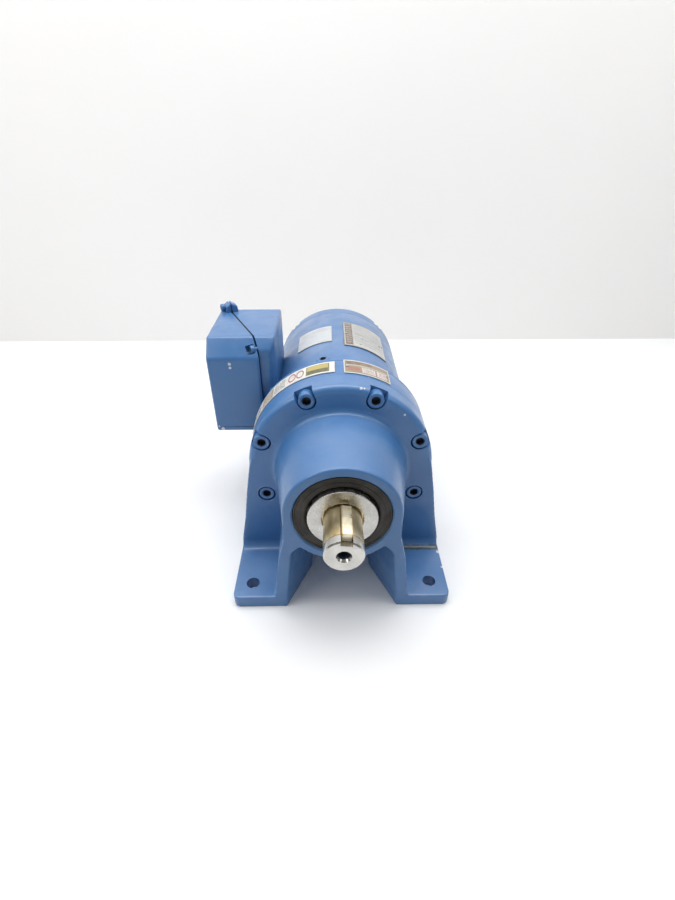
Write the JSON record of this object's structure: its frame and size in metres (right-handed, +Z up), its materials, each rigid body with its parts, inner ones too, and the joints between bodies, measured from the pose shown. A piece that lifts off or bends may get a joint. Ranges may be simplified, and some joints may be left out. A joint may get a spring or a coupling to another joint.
{
  "type": "inline gear reducer",
  "caption": "Foot-mounted inline cycloidal gearmotor with a keyed output shaft, a round flanged casing on splayed legs, a plain cylindrical motor and a side terminal box.",
  "frame": {"origin": "bottom centre of the bounding box, on the plane the feet stand on", "axes": "+Z up; +Y along the shaft axis from the output end towards the motor; the terminal box is on -X"},
  "size_m": [0.203, 0.3094, 0.1936],
  "materials": {
    "painted_casting": "semi-gloss machine enamel on cast iron",
    "painted_alloy": "semi-gloss machine enamel on light alloy",
    "painted_fastener": "enamel over black steel",
    "shaft_steel": "ground steel with a thin amber rust preventive film",
    "ground_steel": "fine ground",
    "bearing_steel": "polished",
    "gear_steel": "hardened and ground",
    "laminated_steel": "varnished laminations",
    "winding_copper": "varnished copper wire",
    "seal_rubber": "matt nitrile rubber",
    "moulded_block": "moulded phenolic",
    "label_foil": "printed foil"
  },
  "bodies": {
    "housing": {"casing": "painted_casting", "casing_bolt_1": "painted_fastener", "casing_bolt_2": "painted_fastener", "casing_bolt_3": "painted_fastener", "casing_bolt_4": "painted_fastener", "casing_bolt_5": "painted_fastener", "casing_bolt_6": "painted_fastener", "casing_bolt_7": "painted_fastener", "casing_bolt_8": "painted_fastener", "ring_gear_housing": "painted_casting", "ring_gear_pins": "gear_steel", "output_oil_seal": "seal_rubber", "front_bearing_outer_ring": "bearing_steel", "rear_bearing_outer_ring": "bearing_steel", "motor_bracket": "painted_alloy", "input_oil_seal": "seal_rubber", "motor_bolt_1": "painted_fastener", "motor_bolt_2": "painted_fastener", "motor_bolt_3": "painted_fastener", "motor_bolt_4": "painted_fastener", "motor_frame": "painted_alloy", "grease_plug": "painted_fastener", "stator_core": "laminated_steel", "winding_front": "winding_copper", "winding_rear": "winding_copper", "motor_front_bearing_outer_ring": "bearing_steel", "motor_rear_bearing_outer_ring": "bearing_steel", "rear_end_shield": "painted_alloy", "shield_screw_1": "painted_fastener", "shield_screw_2": "painted_fastener", "shield_screw_3": "painted_fastener", "shield_screw_4": "painted_fastener", "terminal_box_base": "painted_alloy", "terminal_box_cover": "painted_alloy", "terminal_box_gasket": "seal_rubber", "terminal_block": "moulded_block", "cover_screw_1": "painted_fastener", "cover_screw_2": "painted_fastener", "ring_label_left": "label_foil", "ring_label_right": "label_foil", "motor_label_left": "label_foil", "motor_nameplate": "label_foil"},
    "output": {"output_shaft": "shaft_steel", "output_key": "shaft_steel", "shaft_collar": "ground_steel", "front_bearing_inner_ring": "bearing_steel", "rear_bearing_inner_ring": "bearing_steel", "bearing_spacer": "ground_steel", "disc_spacer": "ground_steel"},
    "input": {"motor_shaft": "shaft_steel", "rotor_core": "laminated_steel", "eccentric_cam": "gear_steel", "motor_front_bearing_inner_ring": "bearing_steel", "motor_rear_bearing_inner_ring": "bearing_steel"},
    "disc_1": {"cycloid_disc_1": "gear_steel"},
    "disc_2": {"cycloid_disc_2": "gear_steel"},
    "roller_cage_1": {"cam_roller_bearing_1": "bearing_steel"},
    "roller_cage_2": {"cam_roller_bearing_2": "bearing_steel"},
    "front_ball_cage": {"front_bearing_balls": "bearing_steel"},
    "rear_ball_cage": {"rear_bearing_balls": "bearing_steel"}
  },
  "joints": [
    {"name": "input_spin", "type": "hinge", "parent": "housing", "child": "input", "pos_m": [0.0115, -0.02735, 0.1], "axis": [0, 1, 0], "continuous": true},
    {"name": "output_spin", "type": "hinge", "parent": "housing", "child": "output", "pos_m": [0.0115, -0.08735, 0.1], "axis": [0, 1, 0], "continuous": true},
    {"name": "disc_1_spin", "type": "hinge", "parent": "input", "child": "disc_1", "pos_m": [0.014, -0.02735, 0.1], "axis": [0, 1, 0], "continuous": true},
    {"name": "disc_2_spin", "type": "hinge", "parent": "input", "child": "disc_2", "pos_m": [0.009, -0.02735, 0.1], "axis": [0, 1, 0], "continuous": true},
    {"name": "roller_cage_1_spin", "type": "hinge", "parent": "input", "child": "roller_cage_1", "pos_m": [0.014, -0.02735, 0.1], "axis": [0, 1, 0], "continuous": true},
    {"name": "roller_cage_2_spin", "type": "hinge", "parent": "input", "child": "roller_cage_2", "pos_m": [0.009, -0.02735, 0.1], "axis": [0, 1, 0], "continuous": true},
    {"name": "front_ball_cage_spin", "type": "hinge", "parent": "housing", "child": "front_ball_cage", "pos_m": [0.0115, -0.09735, 0.1], "axis": [0, 1, 0], "continuous": true},
    {"name": "rear_ball_cage_spin", "type": "hinge", "parent": "housing", "child": "rear_ball_cage", "pos_m": [0.0115, -0.06735, 0.1], "axis": [0, 1, 0], "continuous": true}
  ],
  "couplings": [
    {"joint": "output_spin", "follows": "input_spin", "ratio": -0.090909},
    {"joint": "disc_1_spin", "follows": "input_spin", "ratio": -1.0909},
    {"joint": "disc_2_spin", "follows": "input_spin", "ratio": -1.0909},
    {"joint": "roller_cage_1_spin", "follows": "input_spin", "ratio": -0.6716},
    {"joint": "roller_cage_2_spin", "follows": "input_spin", "ratio": -0.6716},
    {"joint": "front_ball_cage_spin", "follows": "input_spin", "ratio": -0.036},
    {"joint": "rear_ball_cage_spin", "follows": "input_spin", "ratio": -0.0364}
  ]
}
